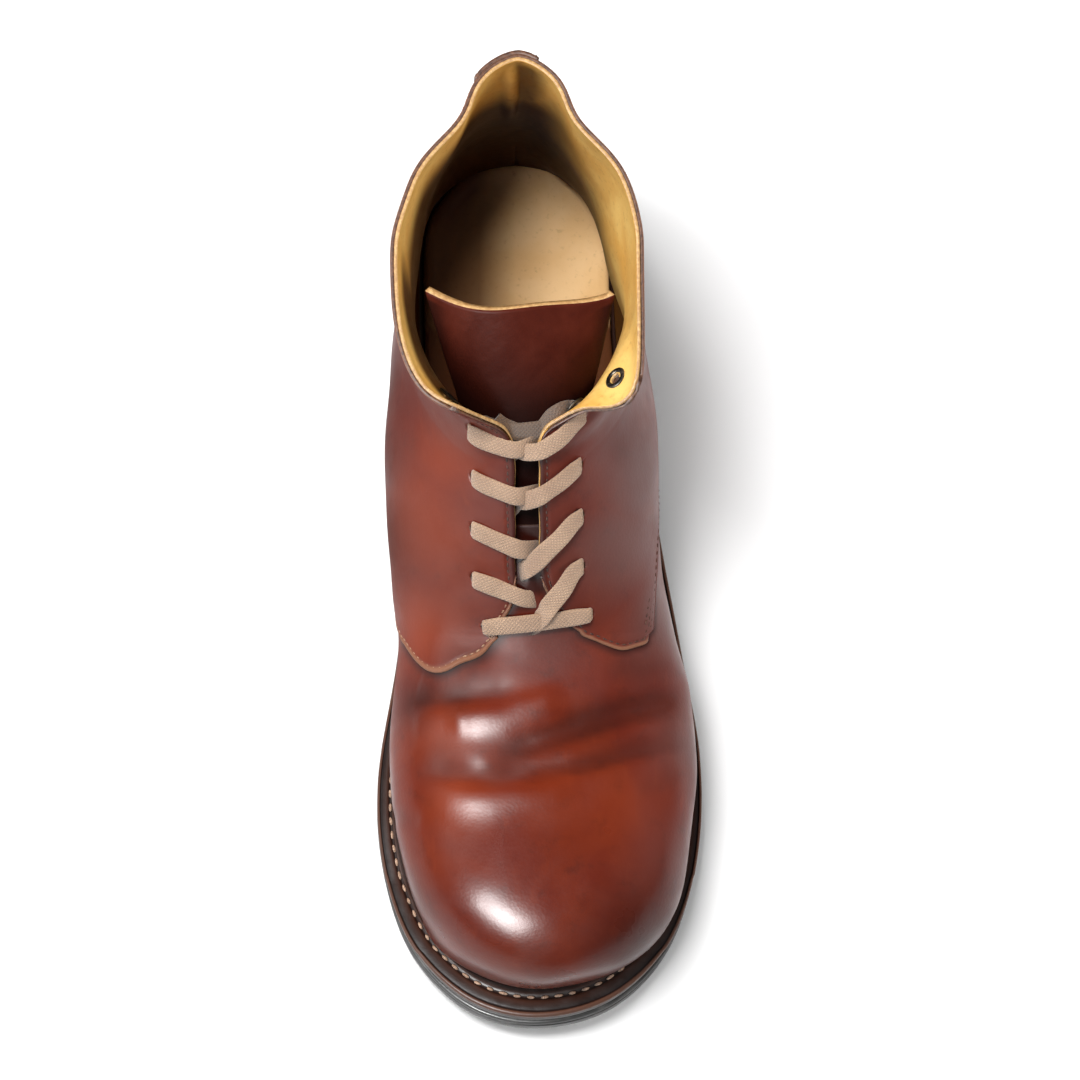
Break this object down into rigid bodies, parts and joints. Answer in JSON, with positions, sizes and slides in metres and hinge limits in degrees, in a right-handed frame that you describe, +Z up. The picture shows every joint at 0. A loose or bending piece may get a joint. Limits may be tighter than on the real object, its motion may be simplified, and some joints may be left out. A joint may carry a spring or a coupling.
{
  "type": "lace-up ankle boot",
  "caption": "Lace-up ankle derby boot with a hollow leather upper open at the collar and throat, a stitched welt, a leather sole and a low stacked heel.",
  "frame": {"origin": "centre of the bounding box in plan, on the plane that the forefoot and the heel stand on", "axes": "+Z up, +Y toward the heel (the toe points to -Y), +X toward the outer side of the foot"},
  "size_m": [0.1111, 0.304, 0.1621],
  "materials": {
    "sole_black": "burnished black sole leather, satin",
    "sole_edge": "burnished dark brown edge, satin",
    "welt": "dark brown, satin, stitched",
    "footbed": "undyed tan leather, matt",
    "upper_leather": "smooth chestnut brown, waxed, glossy",
    "tongue_leather": "smooth dark chestnut brown, satin",
    "eyelet_metal": "dark, dull",
    "lace": "flat woven cotton, beige, matt"
  },
  "bodies": {
    "root": {"backstay": "upper_leather", "eyelet_lateral_1": "eyelet_metal", "eyelet_lateral_2": "eyelet_metal", "eyelet_lateral_3": "eyelet_metal", "eyelet_lateral_4": "eyelet_metal", "eyelet_lateral_5": "eyelet_metal", "eyelet_lateral_6": "eyelet_metal", "eyelet_medial_1": "eyelet_metal", "eyelet_medial_2": "eyelet_metal", "eyelet_medial_3": "eyelet_metal", "eyelet_medial_4": "eyelet_metal", "eyelet_medial_5": "eyelet_metal", "eyelet_medial_6": "eyelet_metal", "heel": "sole_black", "insole": "footbed", "lace_1": "lace", "lace_2": "lace", "lace_3": "lace", "lace_4": "lace", "midsole": "sole_edge", "outsole": "sole_black", "tongue": "tongue_leather", "upper": "upper_leather", "welt": "welt"}
  },
  "joints": []
}
